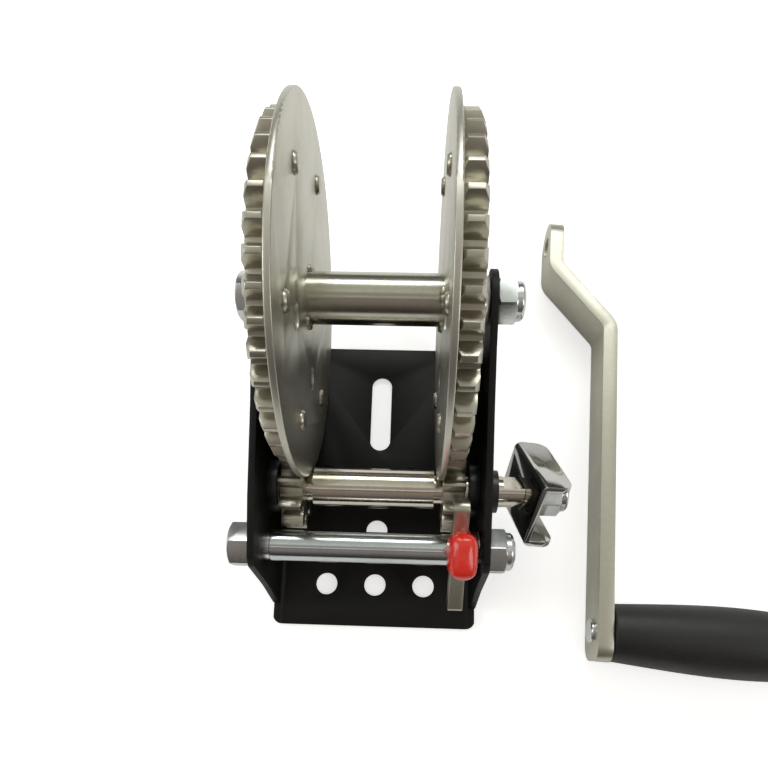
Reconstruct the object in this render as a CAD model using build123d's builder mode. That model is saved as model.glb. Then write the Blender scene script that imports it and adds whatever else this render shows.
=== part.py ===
from build123d import *
import math
import os

# Hand winch for a boat trailer, seen from the front: X runs along the shafts, Y to the rear,
# Z up. The origin is the centre of the base underside. All sizes in millimetres.

# ---------------------------------------------------------------- driving sizes
SHEET = 3.0            # frame sheet thickness
BASE_W = 105.0         # base width over the two side plates
BASE_L = 154.0         # base length, front to rear
BEND_R = 3.0           # inside bend radius between base and side plates
HOLE_D = 11.3          # mounting holes for 3/8 in or M10 bolts
HOLE_PITCH = 25.4      # pitch of the three front holes
FRONT_ROW_Y = -55.5    # front row of holes
CENTRE_HOLE_Y = -26.5  # single hole behind the front row
SLOT_W = 11.0          # long mounting slot in the rear of the base
SLOT_FRONT_Y = 17.8    # front end of the slot
SLOT_REAR_Y = 60.7     # rear end of the slot
DIMPLE_Y = 3.5         # pressed dimples in the base
DIMPLE_R = 6.0
DIMPLE_H = 2.2

DRUM_Y = 63.7          # drum axis
DRUM_Z = 83.6
EAR_R = 13.4           # round top of the side plates, over the drum bolt
FLANGE_R = 79.0        # cable drum flange radius
FLANGE_T = 2.8
SPOOL_W = 58.6         # between the flanges
TUBE_R = 11.3          # drum tube outside radius
BOLT_R = 6.0           # drum and pawl bolts, M12
BUSH_R = 8.4           # drum bushes, outside radius

MODULE = 3.475
PRESSURE = math.radians(25)
GEAR_TEETH = 40
PINION_TEETH = 10
GEAR_W = 9.2           # face width of the big gears
GEAR_TURN = -3.0       # degrees the drum stands round from a tooth on the line of centres
BACKLASH = 0.22        # taken off each tooth at the pitch circle
TOOTH_SHIFT = 0.3      # big gear teeth are this much thicker, pinion teeth thinner
TOOTH_BEVEL = 1.8      # bevels at the ends of the big gear teeth, along the shaft
TOOTH_BEVEL_DEEP = 3.4 # and their depth

SHAFT_Y = -12.2        # drive shaft axis
SHAFT_R = 9.6          # the thick middle of the shaft
JOURNAL_R = 7.4        # the rest of it, in the pinions and plastic bushes
PAWL_Y = -42.0         # pawl bolt axis
PAWL_Z = 50.0
PAWL_TUBE_R = 7.2
PAWL_X0 = 36.4         # inner face of the pawl plate
PAWL_T = 7.0

BAR_W = 24.0           # crank bar section
BAR_T = 7.3
SOCKET_W = 27.0        # inside the handle bracket, a loose fit for the bar
BRACKET_T = 3.0

# ---------------------------------------------------------------- worked out sizes
PLATE_OUT = BASE_W / 2
PLATE_IN = PLATE_OUT - SHEET
FLANGE_IN = SPOOL_W / 2
FLANGE_OUT = FLANGE_IN + FLANGE_T
GEAR_OUT = FLANGE_OUT + GEAR_W
GEAR_PITCH_R = MODULE * GEAR_TEETH / 2
PINION_PITCH_R = MODULE * PINION_TEETH / 2
GEAR_TIP_R = GEAR_PITCH_R + 0.94 * MODULE
PINION_TIP_R = PINION_PITCH_R + 0.9 * MODULE
CENTRES = GEAR_PITCH_R + PINION_PITCH_R
GEAR_ROOT_R = CENTRES - PINION_TIP_R - 0.7
PINION_ROOT_R = CENTRES - GEAR_TIP_R - 0.7
SHAFT_Z = DRUM_Z - math.sqrt(CENTRES**2 - (DRUM_Y - SHAFT_Y) ** 2)
MESH_DEG = math.degrees(math.atan2(DRUM_Z - SHAFT_Z, DRUM_Y - SHAFT_Y))

parts = {}


def keep(piece, name):
    """Label a finished piece and remember it for the export."""
    piece.label = name
    parts[name] = piece


def side(x):
    """The plane across the shafts at x: its own x is Y, its own y is Z."""
    return Plane.YZ.offset(x)


def half_angle(radius, teeth, extra):
    """Half the angle that one involute tooth, extra wider than half a pitch, fills here."""
    pitch_r = MODULE * teeth / 2
    base_r = pitch_r * math.cos(PRESSURE)
    here = math.acos(min(1.0, base_r / radius))
    at_pitch = math.pi / (2 * teeth) + (extra - BACKLASH) / (2 * pitch_r)
    involute = math.tan(here) - here
    return at_pitch + math.tan(PRESSURE) - PRESSURE - involute


def spur_outline(teeth, tip_r, root_r, first_deg, extra):
    """A toothed outline about the origin, with one tooth centred on first_deg."""
    base_r = MODULE * teeth / 2 * math.cos(PRESSURE)
    start_r = max(base_r, root_r)
    steps = [start_r + (tip_r - start_r) * i / 4 for i in range(5)]
    turns = [half_angle(r, teeth, extra) for r in steps]
    flank = [(r * math.cos(turn), r * math.sin(turn)) for r, turn in zip(steps, turns)]
    foot = turns[0]
    sunk = root_r - 0.3
    foot_point = (sunk * math.cos(foot), sunk * math.sin(foot))
    with BuildSketch() as tooth:
        with BuildLine():
            Line(foot_point, flank[0])
            Spline(*flank)
            Line(flank[-1], (flank[-1][0], -flank[-1][1]))
            Spline(*[(x, -y) for x, y in reversed(flank)])
            Line((flank[0][0], -flank[0][1]), (foot_point[0], -foot_point[1]))
            Line((foot_point[0], -foot_point[1]), foot_point)
        make_face()
    with BuildSketch() as outline:
        Circle(root_r)
        with PolarLocations(0, teeth, start_angle=first_deg):
            add(tooth.sketch)
    return outline.sketch


def hexagon(across_flats, turn=0.0):
    """A hexagon for nuts and bolt heads, flats across the given width."""
    RegularPolygon(across_flats / 2, 6, major_radius=False, rotation=turn)


def crowned_hex(x, y, z, length, across_flats, turn, crowned_low, crowned_high):
    """A hexagonal head along X from x, with the turned 30 degree crown on the ends asked for."""
    corner_r = across_flats / math.sqrt(3)
    flat_r = across_flats / 2 - 0.3
    drop = (corner_r + 0.5 - flat_r) * math.tan(math.radians(30))
    low = drop if crowned_low else 0
    high = drop if crowned_high else 0
    with BuildPart() as head:
        with BuildSketch(side(x)):
            with Locations((y, z)):
                hexagon(across_flats, turn)
        extrude(amount=length)
        with BuildSketch(Plane.XY.offset(z)):
            with BuildLine():
                Polyline(
                    (x, y), (x, y + (flat_r if crowned_low else corner_r + 0.5)),
                    (x + low + 0.01, y + corner_r + 0.5), (x + length - high - 0.01, y + corner_r + 0.5),
                    (x + length, y + (flat_r if crowned_high else corner_r + 0.5)), (x + length, y),
                    (x, y),
                )
            make_face()
        revolve(axis=Axis((x, y, z), (1, 0, 0)), mode=Mode.INTERSECT)
    return head.part


# ---------------------------------------------------------------- frame
# One bent sheet: a base and two side plates that carry the drum bolt, shaft and pawl bolt.
with BuildPart() as frame:
    with BuildSketch(Plane.XZ.offset(-BASE_L / 2)):
        with Locations((0, SHEET / 2)):
            Rectangle(BASE_W - 2 * (BEND_R + SHEET), SHEET)
        for hand in (-1, 1):
            with BuildLine():
                x_in = hand * (PLATE_OUT - SHEET - BEND_R)
                Line((x_in, 0), (x_in, SHEET))
                ThreePointArc(
                    (x_in, SHEET),
                    (x_in + hand * BEND_R * math.sin(math.pi / 4),
                     SHEET + BEND_R * (1 - math.cos(math.pi / 4))),
                    (hand * PLATE_IN, SHEET + BEND_R),
                )
                Line((hand * PLATE_IN, SHEET + BEND_R), (hand * PLATE_IN, 101))
                Line((hand * PLATE_IN, 101), (hand * PLATE_OUT, 101))
                Line((hand * PLATE_OUT, 101), (hand * PLATE_OUT, SHEET + BEND_R))
                ThreePointArc(
                    (hand * PLATE_OUT, SHEET + BEND_R),
                    (x_in + hand * (BEND_R + SHEET) * math.sin(math.pi / 4),
                     (BEND_R + SHEET) * (1 - math.cos(math.pi / 4))),
                    (x_in, 0),
                )
            make_face()
    extrude(amount=BASE_L + 8)
    # keep what lies inside the side outline of the plates
    with BuildSketch(side(-PLATE_OUT - 1)):
        ear = [
            (DRUM_Y + EAR_R * math.cos(turn), DRUM_Z + EAR_R * math.sin(turn))
            for turn in (math.radians(112), math.radians(60), math.radians(2))
        ]
        with BuildLine():
            Polyline(
                (-BASE_L / 2, -1), (-BASE_L / 2, SHEET + 1), (-66.5, SHEET + 1), (-59.0, 34.0),
                (-53.5, 63.5), (-50.0, 67.5), (-24.0, 74.5), (16.0, 82.0), (40.0, 88.4), ear[0],
            )
            ThreePointArc(*ear)
            Polyline(ear[2], (BASE_L / 2, 14.0), (BASE_L / 2, -1), (-BASE_L / 2, -1))
        make_face()
    extrude(amount=BASE_W + 2, mode=Mode.INTERSECT)
    # the front corners of the side plates are rounded
    corners = frame.edges().filter_by(Axis.X).filter_by(lambda e: e.center().Z > 50)
    fillet(corners.filter_by(lambda e: -56 < e.center().Y < -45), 3.5)
    # rounded front corners of the base
    with BuildSketch(Plane.XY) as plan:
        Rectangle(BASE_W, BASE_L)
        fillet(plan.vertices().sort_by(Axis.Y)[:2], 5)
    extrude(amount=110, mode=Mode.INTERSECT)
    with Locations((0, CENTRE_HOLE_Y, 0)):
        Hole(HOLE_D / 2, depth=2 * SHEET)
    with Locations((0, FRONT_ROW_Y, 0)):
        with GridLocations(HOLE_PITCH, 1, 3, 1):
            Hole(HOLE_D / 2, depth=2 * SHEET)
    with BuildSketch(Plane.XY):
        with Locations((0, (SLOT_FRONT_Y + SLOT_REAR_Y) / 2)):
            SlotOverall(SLOT_REAR_Y - SLOT_FRONT_Y, SLOT_W, rotation=90)
    extrude(amount=SHEET, mode=Mode.SUBTRACT)
    # two pressed dimples stiffen the base in front of the slot
    for dimple_x in (-26.5, 17.5):
        with BuildSketch(Plane((dimple_x, DIMPLE_Y, 0), x_dir=(1, 0, 0), z_dir=(0, -1, 0))):
            with BuildLine():
                Line((0, 0.5), (DIMPLE_R, 0.5))
                Line((DIMPLE_R, 0.5), (DIMPLE_R, SHEET))
                Spline((DIMPLE_R, SHEET), (0.7 * DIMPLE_R, SHEET + 0.7 * DIMPLE_H), (0, SHEET + DIMPLE_H),
                       tangents=((-1, 0), (-1, 0)))
                Line((0, SHEET + DIMPLE_H), (0, 0.5))
            make_face()
        revolve(axis=Axis((dimple_x, DIMPLE_Y, 0), (0, 0, 1)))
    with BuildSketch(side(-PLATE_OUT - 1)):
        with Locations((DRUM_Y, DRUM_Z), (PAWL_Y, PAWL_Z)):
            Circle(BOLT_R + 0.1)
        with Locations((SHAFT_Y, SHAFT_Z)):
            Circle(JOURNAL_R + 2.5)
    extrude(amount=BASE_W + 2, mode=Mode.SUBTRACT)
keep(frame.part, "frame")

# ---------------------------------------------------------------- drum
TUBE_HALF = FLANGE_IN
with BuildPart() as drum_tube:
    with BuildSketch(side(-TUBE_HALF)):
        with Locations((DRUM_Y, DRUM_Z)):
            Circle(TUBE_R)
            Circle(BUSH_R, mode=Mode.SUBTRACT)
    extrude(amount=2 * TUBE_HALF)
keep(drum_tube.part, "drum_tube")

RIVET_R = 3.0
RIVET_RING_R = 56.5
RIVETS = 6
CABLE_HOLE_R = 6.0
CABLE_HOLES = [
    (35.0 * math.cos(math.radians(turn)), 35.0 * math.sin(math.radians(turn)))
    for turn in (130, 212)
]
for name, x in (("left_flange", -FLANGE_OUT), ("right_flange", FLANGE_IN)):
    with BuildPart() as flange:
        with BuildSketch(side(x)):
            with Locations((DRUM_Y, DRUM_Z)):
                Circle(FLANGE_R)
                Circle(BUSH_R, mode=Mode.SUBTRACT)
                with PolarLocations(RIVET_RING_R, RIVETS):
                    Circle(RIVET_R, mode=Mode.SUBTRACT)
                with Locations(CABLE_HOLES):
                    Circle(CABLE_HOLE_R, mode=Mode.SUBTRACT)
        extrude(amount=FLANGE_T)
        rims = flange.edges().filter_by(GeomType.CIRCLE).sort_by(SortBy.RADIUS)[-2:]
        fillet(rims, 0.6)
    keep(flange.part, name)

for name, x0 in (("left_gear", -GEAR_OUT), ("right_gear", FLANGE_OUT)):
    first = MESH_DEG + 180 + GEAR_TURN
    outline = spur_outline(GEAR_TEETH, GEAR_TIP_R, GEAR_ROOT_R, first, TOOTH_SHIFT)
    with BuildPart() as gear:
        with BuildSketch(side(x0)):
            with Locations((DRUM_Y, DRUM_Z)):
                add(outline)
        extrude(amount=GEAR_W)
        with BuildSketch(side(x0)):
            with Locations((DRUM_Y, DRUM_Z)):
                Circle(BUSH_R)
                with PolarLocations(RIVET_RING_R, RIVETS):
                    Circle(RIVET_R)
                with Locations(CABLE_HOLES):
                    Circle(CABLE_HOLE_R)
        extrude(amount=GEAR_W, mode=Mode.SUBTRACT)
        # cone cuts bevel both ends of the teeth
        with BuildSketch(Plane((x0, DRUM_Y, DRUM_Z), x_dir=(0, 1, 0), z_dir=(0, 0, 1))):
            tip = GEAR_TIP_R + 1
            low = GEAR_TIP_R - TOOTH_BEVEL_DEEP
            run = TOOTH_BEVEL * (1 + 1 / TOOTH_BEVEL_DEEP)
            with BuildLine():
                Polyline((low, 0), (tip, 0), (tip, -run), (low, 0))
            make_face()
            with BuildLine():
                Polyline((low, -GEAR_W), (tip, -GEAR_W), (tip, run - GEAR_W), (low, -GEAR_W))
            make_face()
        revolve(axis=Axis((x0, DRUM_Y, DRUM_Z), (1, 0, 0)), mode=Mode.SUBTRACT)
    keep(gear.part, name)

# rivets clamp each flange to its gear: one low head inside, one outside
with BuildPart() as drum_rivets:
    for hand in (-1, 1):
        inner = hand * FLANGE_IN
        outer = hand * GEAR_OUT
        shank0 = min(inner, outer)
        with BuildSketch(side(shank0)):
            with Locations((DRUM_Y, DRUM_Z)):
                with PolarLocations(RIVET_RING_R, RIVETS):
                    Circle(RIVET_R)
        extrude(amount=abs(outer - inner))
        for face_x, out in ((inner, -hand), (outer, hand)):
            with BuildSketch(side(face_x)):
                with Locations((DRUM_Y, DRUM_Z)):
                    with PolarLocations(RIVET_RING_R, RIVETS):
                        Circle(4.4)
            extrude(amount=out * 1.6, taper=28)
keep(drum_rivets.part, "drum_rivets")

# plain bushes turn on the drum bolt; their collars space the drum from the side plates
with BuildPart() as drum_bushes:
    for hand in (-1, 1):
        with BuildSketch(side(hand * (PLATE_IN - 0.5))):
            with Locations((DRUM_Y, DRUM_Z)):
                Circle(BUSH_R)
                Circle(BOLT_R + 0.06, mode=Mode.SUBTRACT)
        extrude(amount=-hand * 34)
        with BuildSketch(side(hand * (GEAR_OUT + 0.02))):
            with Locations((DRUM_Y, DRUM_Z)):
                Circle(10.6)
                Circle(BOLT_R + 0.06, mode=Mode.SUBTRACT)
        extrude(amount=hand * (PLATE_IN - 0.5 - GEAR_OUT - 0.02))
keep(drum_bushes.part, "drum_bushes")

# ---------------------------------------------------------------- drum bolt
HEAD_T = 7.6
NUT_T = 12.0
with BuildPart() as drum_bolt:
    add(crowned_hex(-PLATE_OUT - HEAD_T, DRUM_Y, DRUM_Z, HEAD_T, 19.0, 30, True, False))
    with BuildSketch(side(-PLATE_OUT)):
        with Locations((DRUM_Y, DRUM_Z)):
            Circle(BOLT_R)
    extrude(amount=2 * PLATE_OUT + NUT_T + 0.5)
    chamfer(drum_bolt.faces().sort_by(Axis.X)[-1].edges(), 0.9)
keep(drum_bolt.part, "drum_bolt")

COLLAR_T = 3.4          # plain collar of a lock nut, with the nylon ring inside
for name, y, z, turn in (("drum_nut", DRUM_Y, DRUM_Z, 0), ("pawl_nut", PAWL_Y, PAWL_Z, 30)):
    with BuildPart() as nut:
        add(crowned_hex(PLATE_OUT, y, z, NUT_T - COLLAR_T, 19.0, turn, True, True))
        with BuildSketch(side(PLATE_OUT + NUT_T - COLLAR_T)):
            with Locations((y, z)):
                Circle(8.6)
        extrude(amount=COLLAR_T)
        fillet(nut.faces().sort_by(Axis.X)[-1].edges(), 1.8)
        with BuildSketch(side(PLATE_OUT)):
            with Locations((y, z)):
                Circle(BOLT_R)
        extrude(amount=NUT_T, mode=Mode.SUBTRACT)
    keep(nut.part, name)

# ---------------------------------------------------------------- drive shaft
BUSH_IN_T = 4.8         # bush flange inside the side plate
BUSH_OUT_T = 6.0        # and outside it
SHAFT_SHOULDER = 28.4   # the thick middle of the shaft ends short of the flanges
FLATS_X = 61.0          # the flats for the handle bracket start here
THREAD_X = 72.5
THREAD_R = 5.1
SHAFT_END = 91.6
with BuildPart() as drive_shaft:
    with BuildSketch(side(-SHAFT_SHOULDER)):
        with Locations((SHAFT_Y, SHAFT_Z)):
            Circle(SHAFT_R)
    extrude(amount=2 * SHAFT_SHOULDER)
    with BuildSketch(side(-PLATE_OUT - BUSH_OUT_T)):
        with Locations((SHAFT_Y, SHAFT_Z)):
            Circle(JOURNAL_R)
    extrude(amount=PLATE_OUT + BUSH_OUT_T + FLATS_X)
    with BuildSketch(side(FLATS_X)):
        with Locations((SHAFT_Y, SHAFT_Z)):
            Circle(JOURNAL_R)
            Rectangle(2 * JOURNAL_R, 10.4, rotation=-45, mode=Mode.INTERSECT)
    extrude(amount=THREAD_X - FLATS_X)
    with BuildSketch(side(THREAD_X)):
        with Locations((SHAFT_Y, SHAFT_Z)):
            Circle(THREAD_R)
    extrude(amount=SHAFT_END - THREAD_X)
    chamfer(drive_shaft.faces().sort_by(Axis.X)[-1].edges(), 0.8)
keep(drive_shaft.part, "drive_shaft")

PINION_GAP_DEG = MESH_DEG - GEAR_TURN * GEAR_TEETH / PINION_TEETH
PINION_X0 = FLANGE_OUT + 0.3
PINION_W = 10.2
for name, x0 in (("left_pinion", -PINION_X0 - PINION_W), ("right_pinion", PINION_X0)):
    first = PINION_GAP_DEG + 180 / PINION_TEETH
    outline = spur_outline(PINION_TEETH, PINION_TIP_R, PINION_ROOT_R, first, -TOOTH_SHIFT)
    with BuildPart() as pinion:
        with BuildSketch(side(x0)):
            with Locations((SHAFT_Y, SHAFT_Z)):
                add(outline)
        extrude(amount=PINION_W)
        with BuildSketch(side(x0)):
            with Locations((SHAFT_Y, SHAFT_Z)):
                Circle(JOURNAL_R)
        extrude(amount=PINION_W, mode=Mode.SUBTRACT)
    keep(pinion.part, name)

# flanged plastic bushes carry the shaft in both side plates
with BuildPart() as shaft_bushes:
    for hand in (-1, 1):
        with BuildSketch(side(hand * (PLATE_IN - 0.05))):
            with Locations((SHAFT_Y, SHAFT_Z)):
                Circle(12.6)
                Circle(JOURNAL_R + 0.08, mode=Mode.SUBTRACT)
        extrude(amount=-hand * BUSH_IN_T)
        with BuildSketch(side(hand * (PLATE_IN - 0.05))):
            with Locations((SHAFT_Y, SHAFT_Z)):
                Circle(JOURNAL_R + 2.4)
                Circle(JOURNAL_R + 0.08, mode=Mode.SUBTRACT)
        extrude(amount=hand * (SHEET + 0.05))
        with BuildSketch(side(hand * PLATE_OUT)):
            with Locations((SHAFT_Y, SHAFT_Z)):
                Circle(10.2)
                Circle(JOURNAL_R + 0.08, mode=Mode.SUBTRACT)
        extrude(amount=hand * BUSH_OUT_T)
keep(shaft_bushes.part, "shaft_bushes")

# ---------------------------------------------------------------- pawl bolt
PAWL_TUBE_X0 = -45.6
PAWL_GAP = 0.2
PAWL_WASHER_T = 2.0
PAWL_HEAD_T = 9.6
with BuildPart() as pawl_bolt:
    add(crowned_hex(-PLATE_OUT - PAWL_WASHER_T - PAWL_HEAD_T, PAWL_Y, PAWL_Z, PAWL_HEAD_T, 19.0, 30,
                    True, False))
    with BuildSketch(side(-PLATE_OUT - PAWL_WASHER_T)):
        with Locations((PAWL_Y, PAWL_Z)):
            Circle(BOLT_R)
    extrude(amount=2 * PLATE_OUT + PAWL_WASHER_T + NUT_T + 0.8)
    chamfer(pawl_bolt.faces().sort_by(Axis.X)[-1].edges(), 0.9)
keep(pawl_bolt.part, "pawl_bolt")

# washers: one under the bolt head, one between the pawl and its spring
with BuildPart() as pawl_washers:
    for x0, length, radius in (
        (-PLATE_OUT - PAWL_WASHER_T, PAWL_WASHER_T, 11.5),
        (PAWL_X0 + PAWL_T + PAWL_GAP, 1.6, 10.5),
    ):
        with BuildSketch(side(x0)):
            with Locations((PAWL_Y, PAWL_Z)):
                Circle(radius)
                Circle(BOLT_R, mode=Mode.SUBTRACT)
        extrude(amount=length)
keep(pawl_washers.part, "pawl_washers")

with BuildPart() as pawl_tube:
    with BuildSketch(side(PAWL_TUBE_X0)):
        with Locations((PAWL_Y, PAWL_Z)):
            Circle(PAWL_TUBE_R)
            Circle(BOLT_R, mode=Mode.SUBTRACT)
    extrude(amount=PAWL_X0 - PAWL_GAP - PAWL_TUBE_X0)
    fillet(pawl_tube.edges().filter_by(GeomType.CIRCLE).sort_by(SortBy.RADIUS)[-2:], 0.4)
keep(pawl_tube.part, "pawl_tube")

# the thin neck bush fills the space between the left side plate and the long tube
with BuildPart() as neck_bush:
    with BuildSketch(side(-PLATE_IN)):
        with Locations((PAWL_Y, PAWL_Z)):
            Circle(BOLT_R + 0.7)
            Circle(BOLT_R, mode=Mode.SUBTRACT)
    extrude(amount=PLATE_IN + PAWL_TUBE_X0)
keep(neck_bush.part, "neck_bush")

# coil spring that holds the pawl over to one side or the other
SPRING_WIRE_R = 0.7
SPRING_COIL_R = 8.2
SPRING_X0 = PAWL_X0 + PAWL_T + PAWL_GAP + 1.6 + SPRING_WIRE_R
SPRING_X1 = PLATE_IN - SPRING_WIRE_R
with BuildPart() as pawl_spring:
    with BuildLine() as coil:
        Helix(
            pitch=(SPRING_X1 - SPRING_X0) / 2,
            height=SPRING_X1 - SPRING_X0,
            radius=SPRING_COIL_R,
            center=(SPRING_X0, PAWL_Y, PAWL_Z),
            direction=(1, 0, 0),
        )
    with BuildSketch(Plane(origin=coil.line @ 0, z_dir=coil.line % 0)):
        Circle(SPRING_WIRE_R)
    sweep(is_frenet=True)
keep(pawl_spring.part, "pawl_spring")

# ---------------------------------------------------------------- pawl
# Drawn in the engaged position, where the nose stands in a gap of the right pinion,
# then turned back about its bolt to the free position.
FREE_TURN = 17.0
NOSE_GAPS = 2           # the nose stands two gaps round from the mesh with the big gear
nose_turn = math.radians(PINION_GAP_DEG + NOSE_GAPS * 360 / PINION_TEETH)
out_dir = (math.cos(nose_turn), math.sin(nose_turn))
across = (-out_dir[1], out_dir[0])


def nose_point(radius, half_width):
    """A point of the pawl nose, by its distance from the shaft and from the gap centre."""
    return (
        SHAFT_Y + radius * out_dir[0] + half_width * across[0],
        SHAFT_Z + radius * out_dir[1] + half_width * across[1],
    )


PAWL_BOSS_R = 9.5
ARM_W = 15.0
ARM_TIP = (-48.3, 79.0)
TAIL_TIP = (-66.5, 30.5)
TAIL_W = 9.5
nose_neck = (PAWL_Y + 8.9, PAWL_Z + 3.3)
nose_back = (PAWL_Y - 1.6, PAWL_Z + 9.3)
with BuildSketch() as nose:
    with BuildLine():
        Polyline(
            nose_point(15.4, 1.1), nose_point(20.6, 3.3), nose_point(26.0, 4.6), nose_neck,
            (PAWL_Y, PAWL_Z), nose_back, nose_point(27.5, -4.6), nose_point(20.6, -3.3),
            nose_point(15.4, -1.1), nose_point(15.4, 1.1),
        )
    make_face()
free_nose = nose.sketch.rotate(Axis((PAWL_Y, PAWL_Z, 0), (0, 0, 1)), FREE_TURN)
with BuildPart() as pawl:
    with BuildSketch(side(PAWL_X0)):
        with Locations((PAWL_Y, PAWL_Z)):
            Circle(PAWL_BOSS_R)
        add(free_nose)
        for tip, width in ((ARM_TIP, ARM_W), (TAIL_TIP, TAIL_W)):
            with BuildLine():
                Line((PAWL_Y, PAWL_Z), tip)
            trace(line_width=width)
        with Locations((PAWL_Y, PAWL_Z)):
            Circle(BOLT_R + 0.08, mode=Mode.SUBTRACT)
    extrude(amount=PAWL_T)
    ends = pawl.edges().filter_by(Axis.X)
    fillet(ends.filter_by(lambda e: e.center().Z > 74), 4)
    ends = pawl.edges().filter_by(Axis.X)
    fillet(ends.filter_by(lambda e: e.center().Z < 36), 2)
keep(pawl.part, "pawl")

# dipped vinyl cap over the end of the arm
CAP_WALL = 2.3
CAP_LENGTH = 19.0
arm_length = math.dist((PAWL_Y, PAWL_Z), ARM_TIP)
arm_dir = ((ARM_TIP[0] - PAWL_Y) / arm_length, (ARM_TIP[1] - PAWL_Z) / arm_length)
cap_mid = (
    ARM_TIP[0] + arm_dir[0] * (CAP_WALL - CAP_LENGTH / 2),
    ARM_TIP[1] + arm_dir[1] * (CAP_WALL - CAP_LENGTH / 2),
)
arm_turn = math.degrees(math.atan2(arm_dir[1], arm_dir[0]))
with BuildPart() as pawl_cap:
    with BuildSketch(side(PAWL_X0 - CAP_WALL)):
        with Locations(cap_mid):
            RectangleRounded(CAP_LENGTH, ARM_W + 2 * CAP_WALL, 5.5, rotation=arm_turn)
    extrude(amount=PAWL_T + 2 * CAP_WALL)
    fillet(pawl_cap.faces().filter_by(Axis.X).edges(), 2.2)
    add(pawl.part, mode=Mode.SUBTRACT)
keep(pawl_cap.part, "pawl_cap")

# ---------------------------------------------------------------- handle bracket
# A bent channel on the end of the shaft; the crank bar lies between its two flanges.
# It hangs loose on the flats, leaning a little against its lock nut.
BRACKET_L = 41.5
BRACKET_DEEP = 15.5
BRACKET_X = 70.6
BRACKET_ROLL = 135.0
BRACKET_LEAN = 14.0
BRACKET_CLIP = 19.5
BRACKET_H = SOCKET_W + 2 * BRACKET_T
roll = math.radians(BRACKET_ROLL)
lean = math.radians(BRACKET_LEAN)
bracket_plane = Plane(
    origin=(BRACKET_X, SHAFT_Y, SHAFT_Z),
    x_dir=(math.sin(roll) * math.sin(lean), math.cos(roll), math.sin(roll) * math.cos(lean)),
    z_dir=(math.cos(lean), 0, -math.sin(lean)),
)
with BuildPart() as handle_bracket:
    with BuildSketch(bracket_plane.offset(-BRACKET_T / 2)):
        Rectangle(BRACKET_L, BRACKET_H)
    extrude(amount=BRACKET_DEEP)
    back = handle_bracket.faces().sort_by(Axis(bracket_plane.origin, bracket_plane.z_dir))[0]
    long_edges = back.edges().filter_by(lambda e: abs(e.length - BRACKET_L) < 0.01)
    fillet(long_edges, 3.4)
    with BuildSketch(bracket_plane.offset(BRACKET_T / 2)):
        Rectangle(BRACKET_L + 2, SOCKET_W)
    extrude(amount=BRACKET_DEEP, mode=Mode.SUBTRACT)
    rims = handle_bracket.faces().sort_by(Axis(bracket_plane.origin, bracket_plane.z_dir))[-2:]
    fillet(rims.edges().filter_by(lambda e: abs(e.length - BRACKET_T) < 0.01), 6)
    with BuildSketch(side(FLATS_X)):
        with Locations((SHAFT_Y, SHAFT_Z)):
            Circle(JOURNAL_R + 0.7)
            Rectangle(2 * JOURNAL_R + 2, 11.8, rotation=-45, mode=Mode.INTERSECT)
    extrude(amount=20, mode=Mode.SUBTRACT)
    # the corner that leans towards the frame is cut off, to pass the pawl nut
    with Locations((BRACKET_X, SHAFT_Y, SHAFT_Z - BRACKET_CLIP - BRACKET_H / 2)):
        Box(BRACKET_L, BRACKET_H, BRACKET_H, mode=Mode.SUBTRACT)
keep(handle_bracket.part, "handle_bracket")

BRACKET_NUT_X = 75.6
BRACKET_NUT_T = 12.4
with BuildPart() as bracket_nut:
    add(crowned_hex(BRACKET_NUT_X, SHAFT_Y, SHAFT_Z, BRACKET_NUT_T, 19.0, 15, True, True))
    with BuildSketch(side(BRACKET_NUT_X + BRACKET_NUT_T)):
        with Locations((SHAFT_Y, SHAFT_Z)):
            Circle(8.6)
    extrude(amount=COLLAR_T)
    fillet(bracket_nut.faces().sort_by(Axis.X)[-1].edges(), 1.8)
    with BuildSketch(side(BRACKET_NUT_X)):
        with Locations((SHAFT_Y, SHAFT_Z)):
            Circle(THREAD_R)
    extrude(amount=BRACKET_NUT_T + COLLAR_T, mode=Mode.SUBTRACT)
keep(bracket_nut.part, "bracket_nut")

# ---------------------------------------------------------------- crank
# The crank is off the shaft and lies beside the winch, on the edge of its bar.
CRANK_X = 112.2
CRANK_Y = -76.0
GRIP_R = 17.2
CRANK_SWING = math.radians(3.2)
CRANK_TILT = math.radians(1.35)
crank_plane = Plane(
    origin=(CRANK_X, CRANK_Y, GRIP_R + 0.05),
    x_dir=(math.cos(CRANK_SWING), -math.sin(CRANK_SWING), 0),
    z_dir=(
        math.sin(CRANK_SWING) * math.sin(CRANK_TILT),
        math.cos(CRANK_SWING) * math.sin(CRANK_TILT),
        math.cos(CRANK_TILT),
    ),
)
LONG_RUN = 160.0
OFFSET = 29.7
SOCKET_Y = 211.0
BAR_TOP = 223.5
PIN_R = 4.8
with BuildPart() as crank_bar:
    with BuildSketch(crank_plane.offset(-BAR_W / 2)):
        with BuildLine():
            FilletPolyline(
                (0, -14.5), (0, LONG_RUN), (-OFFSET, LONG_RUN + 33.5), (-OFFSET, BAR_TOP),
                radius=9,
            )
        trace(line_width=BAR_T)
    extrude(amount=BAR_W)
    tall = crank_bar.edges().filter_by(lambda e: abs(e.length - BAR_T) < 0.05)
    ends = tall.sort_by(Axis.Y)
    fillet(ends[:2], 8)
    fillet(crank_bar.edges().filter_by(lambda e: abs(e.length - BAR_T) < 0.05).sort_by(Axis.Y)[-2:], 11.4)
    with BuildSketch(Plane(crank_plane.from_local_coords((-20, 0, 0)), x_dir=crank_plane.y_dir,
                           z_dir=crank_plane.x_dir)):
        Circle(PIN_R)
    extrude(amount=40, mode=Mode.SUBTRACT)
    with BuildSketch(Plane(crank_plane.from_local_coords((-OFFSET - 20, SOCKET_Y, 0)),
                           x_dir=crank_plane.y_dir, z_dir=crank_plane.x_dir)):
        Circle(5.4)
    extrude(amount=40, mode=Mode.SUBTRACT)
keep(crank_bar.part, "crank_bar")


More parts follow.
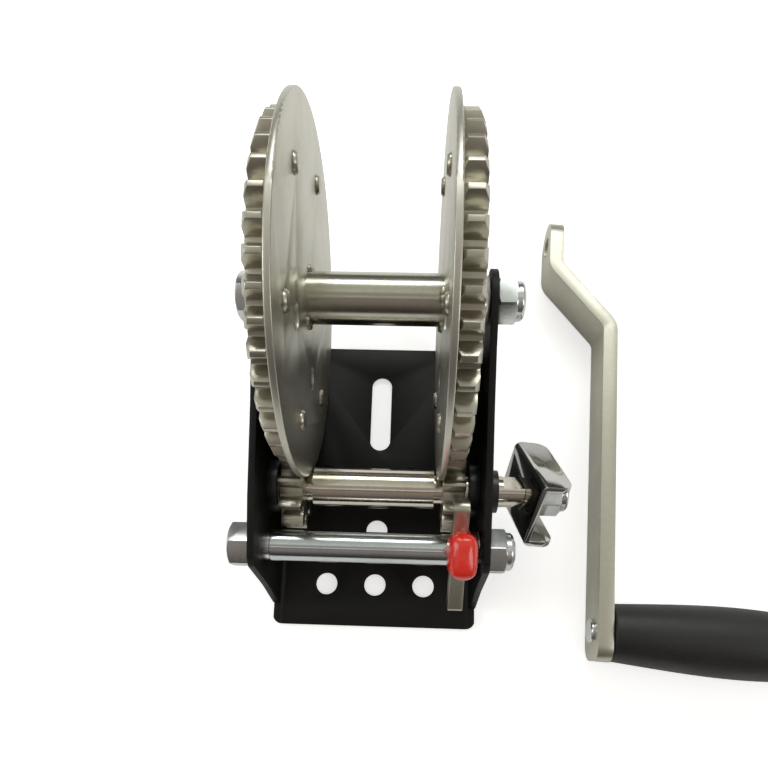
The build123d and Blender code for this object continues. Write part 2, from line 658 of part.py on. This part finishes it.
def along_grip(x):
    """The plane across the grip pin, x from the middle of the bar."""
    return Plane(
        crank_plane.from_local_coords((x, 0, 0)), x_dir=crank_plane.y_dir, z_dir=crank_plane.x_dir
    )


GRIP_X0 = BAR_T / 2 + 0.6
GRIP_L = 108.0
# the pin is peened over on the bar and has a head sunk in the end of the grip
with BuildPart() as grip_pin:
    with BuildSketch(along_grip(-BAR_T / 2)):
        Circle(PIN_R)
    extrude(amount=GRIP_L + BAR_T / 2 - 6)
    with BuildSketch(along_grip(-BAR_T / 2 - 1.8)):
        Circle(5.9)
    extrude(amount=1.8)
    fillet(grip_pin.edges().filter_by(GeomType.CIRCLE).sort_by(Axis.X)[:1], 1.2)
    with BuildSketch(along_grip(GRIP_L - 6)):
        Circle(9.0)
    extrude(amount=2.5)
keep(grip_pin.part, "grip_pin")

with BuildPart() as grip:
    with BuildSketch(crank_plane):
        with BuildLine():
            Line((GRIP_X0, PIN_R + 0.08), (GRIP_X0, 13.0))
            ThreePointArc((GRIP_X0, 13.0), (GRIP_X0 + 0.4, 13.8), (GRIP_X0 + 1.4, 14.1))
            Spline((GRIP_X0 + 1.4, 14.1), (GRIP_X0 + 40, 16.8), (GRIP_X0 + 72, 17.1),
                   (GRIP_L - 8, 14.8))
            ThreePointArc((GRIP_L - 8, 14.8), (GRIP_L - 2.2, 12.4), (GRIP_L, 9.6))
            Line((GRIP_L, 9.6), (GRIP_L - 6.1, 9.6))
            Line((GRIP_L - 6.1, 9.6), (GRIP_L - 6.1, PIN_R + 0.08))
            Line((GRIP_L - 6.1, PIN_R + 0.08), (GRIP_X0, PIN_R + 0.08))
        make_face()
    revolve(axis=Axis(crank_plane.origin, crank_plane.x_dir))
keep(grip.part, "grip")

os.makedirs("parts", exist_ok=True)
for name, part in parts.items():
    export_step(part, f"parts/{name}.step")
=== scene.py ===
# %% [markdown]
# # A boat trailer winch, dressed for its portrait
# The winch arrives as a finished metal model: frame, drum, gears, shaft, pawl and crank, each
# in its own place. This lesson gives it the looks of the real thing: rolled edges that catch
# light, bright zinc, black powder coat, chrome, dipped vinyl and a moulded grip. We start by
# loading the model.

# %% Load the winch, with a helper that reads a part's box
import math

import bpy
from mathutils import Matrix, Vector


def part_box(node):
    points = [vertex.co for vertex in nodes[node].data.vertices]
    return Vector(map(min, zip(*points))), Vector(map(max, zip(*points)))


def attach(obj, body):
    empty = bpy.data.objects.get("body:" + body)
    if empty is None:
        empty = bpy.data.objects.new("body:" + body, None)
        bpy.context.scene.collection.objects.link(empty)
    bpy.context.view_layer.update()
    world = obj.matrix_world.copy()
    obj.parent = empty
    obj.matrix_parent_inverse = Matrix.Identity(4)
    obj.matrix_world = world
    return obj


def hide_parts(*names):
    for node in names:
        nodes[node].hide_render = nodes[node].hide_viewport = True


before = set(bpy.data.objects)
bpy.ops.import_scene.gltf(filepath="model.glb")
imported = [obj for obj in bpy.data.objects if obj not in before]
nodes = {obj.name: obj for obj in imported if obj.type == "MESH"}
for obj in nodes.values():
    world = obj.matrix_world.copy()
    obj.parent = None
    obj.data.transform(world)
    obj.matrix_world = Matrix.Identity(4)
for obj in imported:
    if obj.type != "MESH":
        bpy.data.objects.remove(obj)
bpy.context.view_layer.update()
MM = 0.001
print("loaded", len(nodes), "nodes")

# %% [markdown]
# The shafts all run along X, so a few axis lines place almost everything. They are read from
# the loaded nodes: the middle of a round node's box is its axis.

# %% Axis lines, read from the model


def middle(node):
    """The middle of a node's box."""
    low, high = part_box(node)
    return Vector([(a + b) / 2 for a, b in zip(low, high)])


drum_axis = middle("drum_tube")
shaft_axis = middle("drive_shaft")
pawl_axis = middle("pawl_tube")
print("drum", drum_axis, "shaft", shaft_axis, "pawl", pawl_axis)

# %% [markdown]
# Operators act on whatever is selected, so one helper clears the selection and picks a single
# object. Another leaves a finished piece with its place in its mesh, which is how the loaded
# nodes are kept.

# %% Selection helpers


def pick(obj):
    """Select only this object and make it active."""
    bpy.ops.object.select_all(action="DESELECT")
    obj.select_set(True)
    bpy.context.view_layer.objects.active = obj


def settle(obj):
    """Apply every modifier and put the object's place into its mesh."""
    pick(obj)
    for modifier in list(obj.modifiers):
        bpy.ops.object.modifier_apply(modifier=modifier.name)
    bpy.ops.object.transform_apply(location=True, rotation=True, scale=True)


bpy.ops.object.select_all(action="DESELECT")

# %% [markdown]
# ## Surface effects shared by the finishes
# Plated steel is never one even grey. The zinc lies in faint clouds, its surface has a fine
# grain, and handling leaves scratches. Each of these is a node group, built once and placed in
# every metal with its own values. The other way would be to paint textures, but a group keeps
# its scale on every piece and can be tuned in one place.

# %% Helpers that build a node group


def new_group(name, inputs, outputs):
    """An empty shader group with float inputs (name, default) and named outputs."""
    group = bpy.data.node_groups.new(name, "ShaderNodeTree")
    for label, default in inputs:
        socket = group.interface.new_socket(label, in_out="INPUT", socket_type="NodeSocketFloat")
        socket.default_value = default
    for label in outputs:
        group.interface.new_socket(label, in_out="OUTPUT", socket_type="NodeSocketFloat")
    start = group.nodes.new("NodeGroupInput")
    end = group.nodes.new("NodeGroupOutput")
    return group, start, end


def stretched_coords(group, x, y, z):
    """Object coordinates, each axis scaled, to draw a pattern out along one of them."""
    coords = group.nodes.new("ShaderNodeTexCoord")
    mapping = group.nodes.new("ShaderNodeMapping")
    mapping.inputs["Scale"].default_value = (x, y, z)
    group.links.new(coords.outputs["Object"], mapping.inputs["Vector"])
    return mapping


def noise(group, vector, scale, detail=3.0, rough=0.55):
    """A noise texture on the given vector output."""
    node = group.nodes.new("ShaderNodeTexNoise")
    node.inputs["Scale"].default_value = scale
    node.inputs["Detail"].default_value = detail
    node.inputs["Roughness"].default_value = rough
    group.links.new(vector, node.inputs["Vector"])
    return node


def ramp(group, value, low, high, low_out=0.0, high_out=1.0):
    """Map a value from low..high to low_out..high_out, clamped."""
    node = group.nodes.new("ShaderNodeMapRange")
    node.inputs["From Min"].default_value = low
    node.inputs["From Max"].default_value = high
    node.inputs["To Min"].default_value = low_out
    node.inputs["To Max"].default_value = high_out
    group.links.new(value, node.inputs["Value"])
    return node


def maths(group, operation, a, b):
    """A math node; a and b are outputs or plain numbers."""
    node = group.nodes.new("ShaderNodeMath")
    node.operation = operation
    for socket, value in zip(node.inputs, (a, b)):
        if isinstance(value, (int, float)):
            socket.default_value = value
        else:
            group.links.new(value, socket)
    return node


# %% The plating clouds group
CLOUD_SCALE = 28.0
MOTTLE_SCALE = 420.0
MOTTLE_SHARE = 0.4


def build_clouds():
    """Soft blotches of plating, from centimetre clouds down to a millimetre mottle."""
    group, start, end = new_group("plating clouds", [("Amount", 1.0)], ["Mask"])
    coords = stretched_coords(group, 1, 1, 1)
    big = noise(group, coords.outputs["Vector"], CLOUD_SCALE, 4.0)
    small = noise(group, coords.outputs["Vector"], MOTTLE_SCALE, 2.0)
    mixed = maths(group, "MULTIPLY", small.outputs["Fac"], MOTTLE_SHARE)
    mixed = maths(group, "ADD", mixed.outputs["Value"], big.outputs["Fac"])
    shaped = ramp(group, mixed.outputs["Value"], 0.45, 0.95)
    scaled = maths(group, "MULTIPLY", shaped.outputs["Result"], start.outputs["Amount"])
    group.links.new(scaled.outputs["Value"], end.inputs["Mask"])
    return group


clouds_group = build_clouds()
print("group", clouds_group.name)

# %% [markdown]
# A scratch is long and very thin. Noise stretched a lot along one axis and cut off near its
# peaks leaves such lines, and a second, coarse noise keeps them in patches, as wear is.

# %% The scratches group
SCRATCH_STRETCHES = ((30, 900, 260), (260, 30, 900))
PATCH_SCALE = 60.0


def build_scratches():
    """Long thin marks in two directions, broken up by a coarse noise."""
    group, start, end = new_group("handling scratches", [("Amount", 1.0)], ["Mask"])
    total = None
    for stretch in SCRATCH_STRETCHES:
        coords = stretched_coords(group, *stretch)
        lines = noise(group, coords.outputs["Vector"], 1.0, 2.0)
        thin = ramp(group, lines.outputs["Fac"], 0.70, 0.78)
        if total is None:
            total = thin.outputs["Result"]
        else:
            total = maths(group, "MAXIMUM", total, thin.outputs["Result"]).outputs["Value"]
    coords = stretched_coords(group, 1, 1, 1)
    patches = noise(group, coords.outputs["Vector"], PATCH_SCALE, 2.0)
    where = ramp(group, patches.outputs["Fac"], 0.52, 0.70)
    masked = maths(group, "MULTIPLY", total, where.outputs["Result"])
    scaled = maths(group, "MULTIPLY", masked.outputs["Value"], start.outputs["Amount"])
    group.links.new(scaled.outputs["Value"], end.inputs["Mask"])
    return group


scratches_group = build_scratches()
print("group", scratches_group.name)

# %% [markdown]
# The last effect is a height, not a colour. Each finish chooses how fine and how soft it is.

# %% The fine grain group
GRAIN_SCALE = 900.0


def build_grain():
    """A height for bump: fine tooth of plating, powder or moulded plastic."""
    group, start, end = new_group("fine grain", [("Scale", GRAIN_SCALE), ("Soft", 0.5)], ["Height"])
    coords = stretched_coords(group, 1, 1, 1)
    fine = noise(group, coords.outputs["Vector"], GRAIN_SCALE, 2.0)
    group.links.new(start.outputs["Scale"], fine.inputs["Scale"])
    group.links.new(start.outputs["Soft"], fine.inputs["Roughness"])
    group.links.new(fine.outputs["Fac"], end.inputs["Height"])
    return group


grain_group = build_grain()
print("group", grain_group.name)

# %% [markdown]
# ## Finishes
# Every finish has one Principled shader. The groups above decide where its colour and
# roughness change, and the grain goes into a Bump node. A metal gets its look from what it
# reflects, so its base colour is only the tint of the plating.

# %% Helpers that build a finish
SCUFF_BRIGHTER = 1.15
SCUFF_ROUGHER = 0.12
PLATING_DEPTH = 0.0002


def place(material, group):
    """Put a group into a material and return its node."""
    node = material.node_tree.nodes.new("ShaderNodeGroup")
    node.node_tree = group
    return node


def start_finish(name, metallic):
    """A new material with its Principled shader ready."""
    material = bpy.data.materials.new(name)
    material.use_nodes = True
    shader = material.node_tree.nodes["Principled BSDF"]
    shader.inputs["Metallic"].default_value = metallic
    return material, shader


def colour_between(material, mask, first, second):
    """Mix two colours by a mask and return the colour output."""
    mix = material.node_tree.nodes.new("ShaderNodeMix")
    mix.data_type = "RGBA"
    mix.inputs["A"].default_value = (*first, 1)
    mix.inputs["B"].default_value = (*second, 1)
    material.node_tree.links.new(mask, mix.inputs["Factor"])
    return mix.outputs["Result"]


def bumped(material, shader, height, strength, distance):
    """Send a height into the shader's normal through a Bump node."""
    bump = material.node_tree.nodes.new("ShaderNodeBump")
    bump.inputs["Strength"].default_value = strength
    bump.inputs["Distance"].default_value = distance
    material.node_tree.links.new(height, bump.inputs["Height"])
    material.node_tree.links.new(bump.outputs["Normal"], shader.inputs["Normal"])


def plated(name, light, dark, smooth, dull, grain_scale=700.0, grain=0.08, scratch=0.5):
    """A plated metal: tint between light and dark, roughness between smooth and dull."""
    material, shader = start_finish(name, 1.0)
    tree = material.node_tree
    clouds = place(material, clouds_group)
    marks = place(material, scratches_group)
    marks.inputs["Amount"].default_value = scratch
    tint = colour_between(material, clouds.outputs["Mask"], light, dark)
    scuffed = tree.nodes.new("ShaderNodeMix")
    scuffed.data_type = "RGBA"
    scuffed.inputs["B"].default_value = (*[min(1.0, c * SCUFF_BRIGHTER) for c in light], 1)
    tree.links.new(marks.outputs["Mask"], scuffed.inputs["Factor"])
    tree.links.new(tint, scuffed.inputs["A"])
    tree.links.new(scuffed.outputs["Result"], shader.inputs["Base Color"])
    rough = ramp(tree, clouds.outputs["Mask"], 0.0, 1.0, smooth, dull)
    marked = maths(tree, "MULTIPLY", marks.outputs["Mask"], SCUFF_ROUGHER)
    total = maths(tree, "ADD", rough.outputs["Result"], marked.outputs["Value"])
    tree.links.new(total.outputs["Value"], shader.inputs["Roughness"])
    grit = place(material, grain_group)
    grit.inputs["Scale"].default_value = grain_scale
    bumped(material, shader, grit.outputs["Height"], grain, PLATING_DEPTH)
    return material


# %% The metals
zinc_drum = plated(
    "zinc drum", (0.64, 0.63, 0.555), (0.56, 0.55, 0.48), 0.35, 0.41, 500.0, 0.05, 0.15
)
zinc_gear = plated(
    "zinc gear", (0.56, 0.54, 0.455), (0.44, 0.42, 0.345), 0.28, 0.40, 600.0, 0.10, 0.3
)
zinc_tube = plated(
    "zinc tube", (0.60, 0.585, 0.50), (0.50, 0.49, 0.41), 0.16, 0.24, 500.0, 0.05, 0.25
)
zinc_bolt = plated(
    "zinc fastener", (0.78, 0.81, 0.80), (0.62, 0.65, 0.65), 0.18, 0.28, 500.0, 0.10, 0.4
)
zinc_rod = plated(
    "zinc pawl tube", (0.66, 0.71, 0.73), (0.54, 0.58, 0.60), 0.10, 0.20, 500.0, 0.05, 0.3
)
zinc_shaft = plated(
    "zinc shaft", (0.70, 0.66, 0.58), (0.58, 0.54, 0.46), 0.09, 0.18, 500.0, 0.05, 0.3
)
chrome = plated(
    "bright chrome", (0.60, 0.60, 0.59), (0.54, 0.54, 0.53), 0.05, 0.12, 900, 0.03, 0.2
)
nickel = plated(
    "champagne nickel", (0.58, 0.57, 0.485), (0.50, 0.49, 0.41), 0.36, 0.44, 500.0, 0.06, 0.2
)
spring_wire = plated("spring wire", (0.50, 0.50, 0.51), (0.36, 0.36, 0.37), 0.22, 0.4)
print("metals", zinc_drum.name, zinc_gear.name, zinc_bolt.name, zinc_shaft.name)

# %% [markdown]
# The frame is powder coated: a thick satin paint with a faint orange-peel skin. Where the
# sheet has been handled the skin is a little duller and greyer. Nylon, vinyl and the grip are
# plastics, so they are not metallic, and their grain is coarser or softer.

# %% Powder coat and plastics
PAINT_DEPTH = 0.0003
COAT_ROUGHNESS = 0.08
POWDER_SPECULAR = 0.28


def coated(name, deep, worn, smooth, dull, grain_scale, grain, coat=0.0):
    """A paint or plastic: colour and roughness drift between two values over soft clouds."""
    material, shader = start_finish(name, 0.0)
    tree = material.node_tree
    clouds = place(material, clouds_group)
    tint = colour_between(material, clouds.outputs["Mask"], deep, worn)
    tree.links.new(tint, shader.inputs["Base Color"])
    rough = ramp(tree, clouds.outputs["Mask"], 0.0, 1.0, smooth, dull)
    tree.links.new(rough.outputs["Result"], shader.inputs["Roughness"])
    shader.inputs["Coat Weight"].default_value = coat
    shader.inputs["Coat Roughness"].default_value = COAT_ROUGHNESS
    grit = place(material, grain_group)
    grit.inputs["Scale"].default_value = grain_scale
    bumped(material, shader, grit.outputs["Height"], grain, PAINT_DEPTH)
    return material


powder_coat = coated(
    "black powder coat", (0.004, 0.004, 0.0038), (0.007, 0.007, 0.0065), 0.44, 0.54, 1100.0, 0.10
)
powder_shader = powder_coat.node_tree.nodes["Principled BSDF"]
powder_shader.inputs["Specular IOR Level"].default_value = POWDER_SPECULAR
nylon = coated(
    "black nylon", (0.012, 0.013, 0.015), (0.022, 0.023, 0.026), 0.30, 0.42, 1600.0, 0.1
)
vinyl = coated(
    "red vinyl", (0.86, 0.030, 0.014), (0.74, 0.020, 0.010), 0.20, 0.32, 220.0, 0.08, 0.5
)
grip_black = coated(
    "black grip", (0.008, 0.008, 0.009), (0.015, 0.015, 0.016), 0.42, 0.60, 2200.0, 0.35
)
white_nylon = coated("white nylon", (0.62, 0.64, 0.66), (0.5, 0.52, 0.55), 0.35, 0.5, 1200.0, 0.1)
print("plastics", powder_coat.name, nylon.name, vinyl.name, grip_black.name)

# %% Which finish each part has
finish_of = {
    "frame": powder_coat,
    "drum_tube": zinc_tube,
    "left_flange": zinc_drum,
    "right_flange": zinc_drum,
    "left_gear": zinc_gear,
    "right_gear": zinc_gear,
    "drum_rivets": zinc_gear,
    "drum_bushes": white_nylon,
    "drum_bolt": zinc_bolt,
    "drum_nut": zinc_bolt,
    "pawl_nut": zinc_bolt,
    "pawl_bolt": zinc_bolt,
    "pawl_washers": zinc_bolt,
    "pawl_tube": zinc_rod,
    "neck_bush": zinc_bolt,
    "pawl_spring": spring_wire,
    "pawl": zinc_gear,
    "pawl_cap": vinyl,
    "drive_shaft": zinc_shaft,
    "left_pinion": zinc_gear,
    "right_pinion": zinc_gear,
    "shaft_bushes": nylon,
    "handle_bracket": chrome,
    "bracket_nut": zinc_bolt,
    "crank_bar": nickel,
    "grip_pin": zinc_bolt,
    "grip": grip_black,
}
for node, finish in finish_of.items():
    obj = nodes[node]
    obj.data.materials.clear()
    obj.data.materials.append(finish)
print("finished", len(finish_of), "nodes")

# %% [markdown]
# ## Rolled edges
# A cut sheet or a cut tooth never ends in a perfect knife edge: tumbling and plating leave a
# small round that catches a line of light. A bevel on a cleaned copy of the part gives that
# round in real geometry. The loaded part itself is never touched; the copy stands in for it.

# %% A copy of a part with its edges rolled over
MERGE_GAP = 0.000004
FLAT_WITHIN = math.radians(0.5)
SHARP_FROM = math.radians(32)
SMOOTH_WITHIN = math.radians(30)


def softened(node, body, width):
    """Copy a node, merge its triangles, roll its sharp edges by width and let it stand in."""
    source = nodes[node]
    copy = source.copy()
    copy.data = source.data.copy()
    copy.name = node + "_soft"
    copy.parent = None
    bpy.context.collection.objects.link(copy)
    pick(copy)
    bpy.ops.object.mode_set(mode="EDIT")
    bpy.ops.mesh.select_all(action="SELECT")
    bpy.ops.mesh.remove_doubles(threshold=MERGE_GAP)
    bpy.ops.mesh.dissolve_limited(angle_limit=FLAT_WITHIN)
    bpy.ops.object.mode_set(mode="OBJECT")
    bevel = copy.modifiers.new("rolled edge", "BEVEL")
    bevel.width = width
    bevel.segments = 2
    bevel.limit_method = "ANGLE"
    bevel.angle_limit = SHARP_FROM
    bevel.use_clamp_overlap = True
    settle(copy)
    bpy.ops.object.shade_smooth_by_angle(angle=SMOOTH_WITHIN)
    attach(copy, body)
    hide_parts(node)
    return copy


# each part's body, and how wide its rolled edge is in millimetres
rolled = {
    "frame": ("winch_frame", 0.5),
    "drum_bolt": ("winch_frame", 0.2),
    "pawl_bolt": ("winch_frame", 0.2),
    "drum_nut": ("winch_frame", 0.2),
    "pawl_nut": ("winch_frame", 0.2),
    "pawl_washers": ("winch_frame", 0.3),
    "shaft_bushes": ("winch_frame", 0.5),
    "bracket_nut": ("shaft", 0.2),
    "drum_rivets": ("drum", 0.35),
    "drum_bushes": ("drum", 0.6),
    "left_flange": ("drum", 0.3),
    "right_flange": ("drum", 0.3),
    "left_gear": ("drum", 0.28),
    "right_gear": ("drum", 0.28),
    "left_pinion": ("shaft", 0.25),
    "right_pinion": ("shaft", 0.25),
    "pawl": ("ratchet_pawl", 0.4),
    "handle_bracket": ("shaft", 0.4),
    "crank_bar": ("crank", 0.55),
}
for node, (body, width) in rolled.items():
    piece = softened(node, body, width * MM)
    print(piece.name, len(piece.data.polygons), "faces")

# %% [markdown]
# ## The dipped cap
# The end of the pawl is dipped in liquid vinyl, which sets as a soft bulb, thicker in the
# middle than at its mouth. A block with well rounded edges and a subdivision surface has that
# shape, and insetting its underside and pushing it in leaves the rolled lip of the mouth.

# %% The vinyl cap
CAP_SIZE = (12.8 * MM, 20.4 * MM, 21.4 * MM)
CAP_ROUND = 5.6 * MM
CAP_LIP = 0.5 * MM
CAP_MOUTH_DEPTH = 1.2 * MM
SAG_SCALE = 0.009
SAG_HEIGHT = 0.5 * MM


def dipped_cap():
    """A soft red bulb over the end of the pawl arm, with a lip round its mouth."""
    cap_middle = middle("pawl_cap")
    lean = math.atan2(pawl_axis.y - cap_middle.y, cap_middle.z - pawl_axis.z)
    bpy.ops.mesh.primitive_cube_add(size=1.0, location=(0, 0, 0))
    cap = bpy.context.object
    cap.name = "vinyl_cap"
    cap.scale = CAP_SIZE
    bpy.ops.object.transform_apply(location=False, rotation=False, scale=True)
    bpy.ops.object.mode_set(mode="EDIT")
    bpy.ops.mesh.select_all(action="SELECT")
    bpy.ops.mesh.bevel(offset=CAP_ROUND, segments=3, profile=0.5)
    bpy.ops.object.mode_set(mode="OBJECT")
    under = min(cap.data.polygons, key=lambda face: (round(face.center.z, 5), -face.area))
    for face in cap.data.polygons:
        face.select = face.index == under.index
    bpy.ops.object.mode_set(mode="EDIT")
    bpy.ops.mesh.select_mode(type="FACE")
    bpy.ops.mesh.inset(thickness=CAP_LIP)
    bpy.ops.mesh.extrude_region_move(TRANSFORM_OT_translate={"value": (0, 0, CAP_MOUTH_DEPTH)})
    bpy.ops.object.mode_set(mode="OBJECT")
    smooth = cap.modifiers.new("soft skin", "SUBSURF")
    smooth.levels = 3
    sag = bpy.data.textures.new("vinyl sag", "CLOUDS")
    sag.noise_scale = SAG_SCALE
    uneven = cap.modifiers.new("uneven dip", "DISPLACE")
    uneven.texture = sag
    uneven.strength = SAG_HEIGHT
    uneven.mid_level = 0.5
    cap.rotation_euler = (lean, 0, 0)
    cap.location = cap_middle
    settle(cap)
    bpy.ops.object.shade_smooth()
    cap.data.materials.append(vinyl)
    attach(cap, "ratchet_pawl")
    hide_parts("pawl_cap")
    return cap


cap = dipped_cap()
print(cap.name, len(cap.data.polygons), "faces")

# %% [markdown]
# ## Tack welds
# The drum tube is held to each flange by short welds. A weld is a row of puddles, each laid
# over the last, so each one here starts as a chain of balls of slightly different sizes and is
# then melted into one skin by a voxel remesh.

# %% Tack welds at the ends of the drum tube
PUDDLES = 6
WELD_REACH = 11.9
WELD_STAGGER = 0.3
PUDDLE_R = 1.75
PUDDLE_SWING = 0.3
PUDDLE_STEP = 2.4
MELT_VOXEL = 0.25 * MM


def tack_weld(name, x, first_deg, last_deg):
    """A short bead round the drum tube at x, from one angle to the other."""
    for index in range(PUDDLES):
        turn = math.radians(first_deg + (last_deg - first_deg) * index / (PUDDLES - 1))
        reach = (WELD_REACH + WELD_STAGGER * (index % 2)) * MM
        away, up = reach * math.cos(turn), reach * math.sin(turn)
        bpy.ops.mesh.primitive_ico_sphere_add(
            subdivisions=3,
            radius=(PUDDLE_R + PUDDLE_SWING * math.sin(PUDDLE_STEP * index)) * MM,
            location=(x, drum_axis.y + away, drum_axis.z + up),
        )
        ball = bpy.context.object
        if index == 0:
            bead = ball
            bead.name = name
        else:
            bpy.ops.object.select_all(action="DESELECT")
            ball.select_set(True)
            bead.select_set(True)
            bpy.context.view_layer.objects.active = bead
            bpy.ops.object.join()
    melt = bead.modifiers.new("melt", "REMESH")
    melt.mode = "VOXEL"
    melt.voxel_size = MELT_VOXEL
    calm = bead.modifiers.new("calm", "SMOOTH")
    calm.iterations = 4
    settle(bead)
    bpy.ops.object.shade_smooth()
    bead.data.materials.append(zinc_gear)
    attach(bead, "drum")
    return bead


left_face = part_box("left_flange")[1][0]
right_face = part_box("right_flange")[0][0]
for name, x, first_deg, last_deg in (
    ("left_rear_weld", left_face, -4, 34),
    ("left_front_weld", left_face, 168, 205),
    ("left_under_weld", left_face, 262, 296),
    ("right_top_weld", right_face, 98, 128),
    ("right_front_weld", right_face, 176, 210),
    ("right_rear_weld", right_face, 320, 352),
):
    bead = tack_weld(name, x, first_deg, last_deg)
    print(bead.name, len(bead.data.polygons), "faces")

# %% [markdown]
# ## Rings in the lock nuts
# A lock nut grips its bolt with a nylon ring that sits just inside the collar. It shows as a
# pale ring round the end of the bolt. A thin torus sunk in the end of the nut is enough,
# because only its outer side can be seen.

# %% Nylon rings
RING_WIRE_R = 0.75 * MM
RING_INSET = 0.65 * MM


def lock_ring(name, nut, body, radius):
    """A pale ring round the bolt, just inside the outer end of a lock nut."""
    centre = middle(nut)
    outer_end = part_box(nut)[1][0]
    bpy.ops.mesh.primitive_torus_add(
        major_segments=72,
        minor_segments=14,
        major_radius=radius * MM,
        minor_radius=RING_WIRE_R,
        rotation=(0, math.pi / 2, 0),
        location=(outer_end - RING_INSET, centre.y, centre.z),
    )
    ring = bpy.context.object
    ring.name = name
    settle(ring)
    bpy.ops.object.shade_smooth()
    ring.data.materials.append(white_nylon)
    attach(ring, body)
    return ring


for name, nut, body, radius in (
    ("drum_lock_ring", "drum_nut", "winch_frame", 6.5),
    ("pawl_lock_ring", "pawl_nut", "winch_frame", 6.5),
    ("bracket_lock_ring", "bracket_nut", "shaft", 5.9),
):
    ring = lock_ring(name, nut, body, radius)
    print(ring.name, len(ring.data.polygons), "faces")

# %% [markdown]
# ## Floor, light and camera
# A plain pale floor, one long soft light high behind the winch and two weaker ones at the
# sides. The floor gives off a little light of its own, more of it towards the camera, so that
# it stays pale without washing out the metal.

# %% The floor
FLOOR_SIZE = 6.0
GLOW_ON_METAL = 0.12
GLOW_TO_CAMERA = 0.60
bpy.ops.mesh.primitive_plane_add(size=FLOOR_SIZE, location=(0, 0, 0))
floor = bpy.context.object
floor.name = "floor"
settle(floor)
floor_finish = coated("pale floor", (0.86, 0.86, 0.86), (0.9, 0.9, 0.9), 0.55, 0.7, 40.0, 0.02)
floor_shader = floor_finish.node_tree.nodes["Principled BSDF"]
floor_shader.inputs["Emission Color"].default_value = (1, 1, 1, 1)
path = floor_finish.node_tree.nodes.new("ShaderNodeLightPath")
floor_tree = floor_finish.node_tree
glow = ramp(floor_tree, path.outputs["Is Camera Ray"], 0.0, 1.0, GLOW_ON_METAL, GLOW_TO_CAMERA)
floor_tree.links.new(glow.outputs["Result"], floor_shader.inputs["Emission Strength"])
floor.data.materials.append(floor_finish)
print("floor", FLOOR_SIZE, "m across")

# %% The lights


def soft_light(name, place_at, aim_at, size, power):
    """A rectangular area light that looks at a point."""
    data = bpy.data.lights.new(name, "AREA")
    data.shape = "RECTANGLE"
    data.size, data.size_y = size
    data.energy = power
    light = bpy.data.objects.new(name, data)
    bpy.context.collection.objects.link(light)
    light.location = place_at
    light.rotation_mode = "QUATERNION"
    aim = Vector(aim_at) - Vector(place_at)
    light.rotation_quaternion = aim.to_track_quat("-Z", "Y")
    return light


soft_light("rear softbox", (0.1, 1.0, 1.0), (0, 0.03, 0.05), (1.5, 0.35), 8)
soft_light("left softbox", (-1.1, 0.0, 0.8), (0, 0, 0.05), (0.4, 0.9), 3.2)
soft_light("right softbox", (1.3, -0.4, 0.9), (0, 0, 0.05), (0.35, 0.8), 3.0)
print("lights", len(bpy.data.lights))

# %% [markdown]
# Polished bars show the room as stripes along their length. The room is therefore painted in
# bands from front to rear: a warm brown wall in front, bright strips, a cream ceiling and a
# darker rear wall. Without the bands every bar would look like plain grey paint.

# %% The room, in bands from front to rear


def build_room():
    """World colour by direction: bands from front to rear, dimmer towards the horizon."""
    world = bpy.data.worlds.new("studio room")
    world.use_nodes = True
    tree = world.node_tree
    coords = tree.nodes.new("ShaderNodeTexCoord")
    split = tree.nodes.new("ShaderNodeSeparateXYZ")
    tree.links.new(coords.outputs["Generated"], split.inputs["Vector"])
    across = ramp(tree, split.outputs["Y"], -1.0, 1.0)
    bands = tree.nodes.new("ShaderNodeValToRGB")
    stops = bands.color_ramp.elements
    stops[0].position = 0.0
    stops[0].color = (0.10, 0.08, 0.07, 1)
    stops[1].position = 1.0
    stops[1].color = (0.30, 0.30, 0.28, 1)
    for at, colour in (
        (0.12, (0.26, 0.23, 0.21)),
        (0.24, (0.36, 0.30, 0.27)),
        (0.28, (0.10, 0.09, 0.08)),
        (0.33, (0.90, 0.89, 0.85)),
        (0.38, (0.40, 0.34, 0.31)),
        (0.48, (0.46, 0.40, 0.36)),
        (0.50, (0.82, 0.82, 0.76)),
        (0.66, (0.62, 0.63, 0.54)),
        (0.78, (0.55, 0.58, 0.50)),
        (0.82, (1.0, 1.0, 0.96)),
        (0.90, (0.85, 0.86, 0.82)),
        (0.93, (0.16, 0.16, 0.15)),
    ):
        stop = stops.new(at)
        stop.color = (*colour, 1)
    tree.links.new(across.outputs["Result"], bands.inputs["Fac"])
    lift = ramp(tree, split.outputs["Z"], 0.0, 0.6, 0.25, 0.85)
    tree.links.new(bands.outputs["Color"], tree.nodes["Background"].inputs["Color"])
    tree.links.new(lift.outputs["Result"], tree.nodes["Background"].inputs["Strength"])
    return world


bpy.context.scene.world = build_room()
print("room", bpy.context.scene.world.name)

# %% [markdown]
# The camera stands above the front of the winch and looks steeply down at it. Its view is
# shifted towards the rear, so that the whole drum is in the frame.

# %% The camera
camera_data = bpy.data.cameras.new("portrait camera")
camera = bpy.data.objects.new("portrait camera", camera_data)
bpy.context.collection.objects.link(camera)
camera.location = (0.0177, -0.0793, 0.3427)
camera.rotation_mode = "ZYX"
camera.rotation_euler = (0.201, 0.028, 0.027)
camera_data.lens = 30.14
camera_data.sensor_width = 36.0
camera_data.shift_x = -0.0113
camera_data.shift_y = 0.1518
camera_data.clip_start = 0.01
bpy.context.scene.camera = camera
bpy.context.scene.view_settings.view_transform = "Standard"
print("camera", camera.name, camera_data.lens, "mm")
